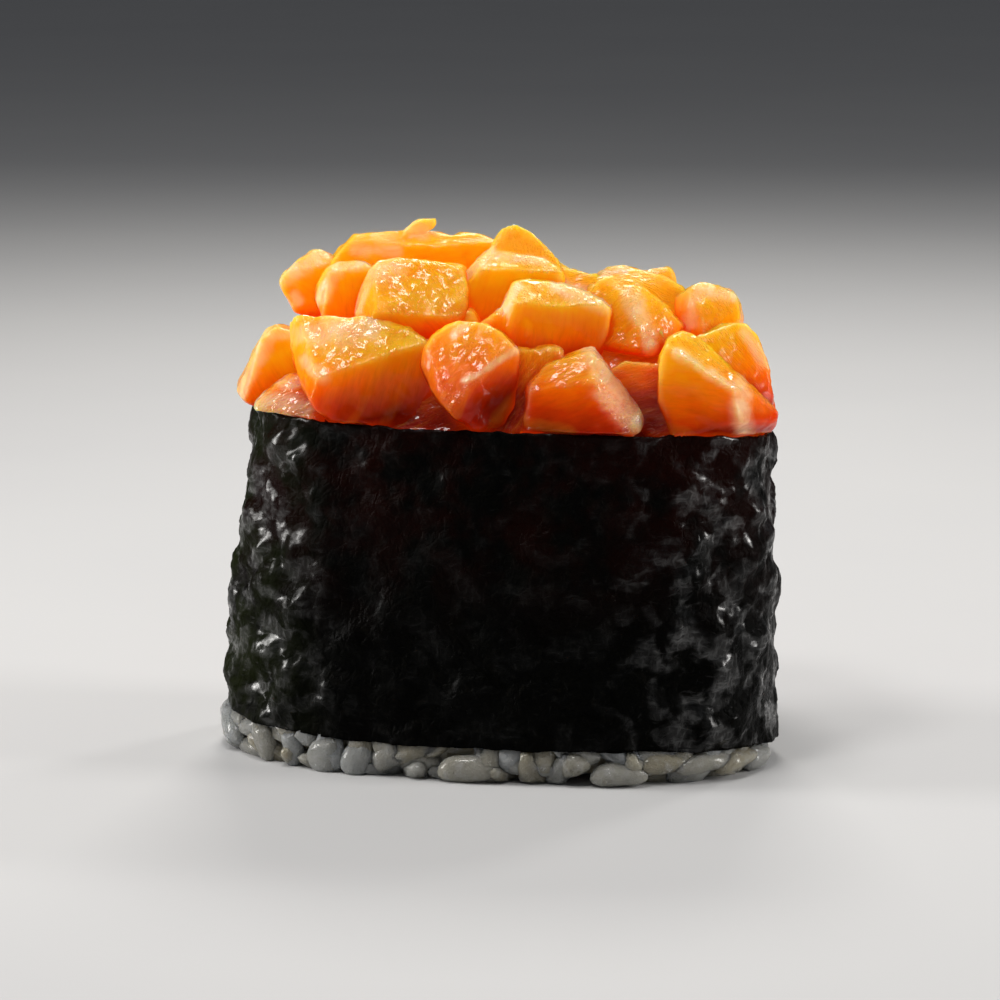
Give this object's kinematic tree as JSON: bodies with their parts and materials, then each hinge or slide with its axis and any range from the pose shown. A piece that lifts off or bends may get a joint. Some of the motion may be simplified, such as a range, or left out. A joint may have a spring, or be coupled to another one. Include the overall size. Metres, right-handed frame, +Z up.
{
  "type": "gunkan sushi",
  "caption": "Oval bed of rice wrapped in an upright strip of nori and heaped above the rim with cut pieces of raw salmon; stands on its flat rice bottom.",
  "frame": {"origin": "middle of the bounding box's bottom, on the plane the rice stands on", "axes": "+X along the long side, towards the end where the heap is lower; -Y out of the long face that is met first; +Z up"},
  "size_m": [0.0576, 0.0336, 0.0527],
  "materials": {
    "nori": "dark crinkled seaweed sheet with a patchy satin sheen",
    "rice": "moist cooked rice, slightly translucent",
    "salmon_gold": "wet raw salmon, golden and translucent",
    "salmon_orange": "wet raw salmon, orange with pale fat lines",
    "salmon_red": "wet raw salmon, deep orange red in the hollows of the heap"
  },
  "bodies": {
    "root": {"nori": "nori", "rice": "rice", "salmon_back_banded": "salmon_orange", "salmon_back_left_block": "salmon_orange", "salmon_back_right_block": "salmon_orange", "salmon_back_right_top": "salmon_gold", "salmon_back_upper": "salmon_gold", "salmon_back_wedge": "salmon_orange", "salmon_behind_middle": "salmon_gold", "salmon_deep_far_left": "salmon_red", "salmon_deep_left": "salmon_red", "salmon_deep_middle": "salmon_red", "salmon_deep_right": "salmon_red", "salmon_front_banded": "salmon_orange", "salmon_front_left_block": "salmon_orange", "salmon_front_right_block": "salmon_orange", "salmon_front_wedge": "salmon_orange", "salmon_left_overhang": "salmon_orange", "salmon_left_rim": "salmon_red", "salmon_left_round": "salmon_gold", "salmon_left_top": "salmon_gold", "salmon_low_left": "salmon_red", "salmon_low_middle": "salmon_red", "salmon_middle_block": "salmon_orange", "salmon_peak": "salmon_gold", "salmon_pocket_lower": "salmon_red", "salmon_pocket_upper": "salmon_red", "salmon_right_inner": "salmon_gold", "salmon_right_knob": "salmon_gold", "salmon_right_middle": "salmon_orange", "salmon_right_side": "salmon_orange", "salmon_right_top": "salmon_gold", "salmon_top_slab": "salmon_gold", "salmon_upper_left_block": "salmon_gold"}
  },
  "joints": []
}
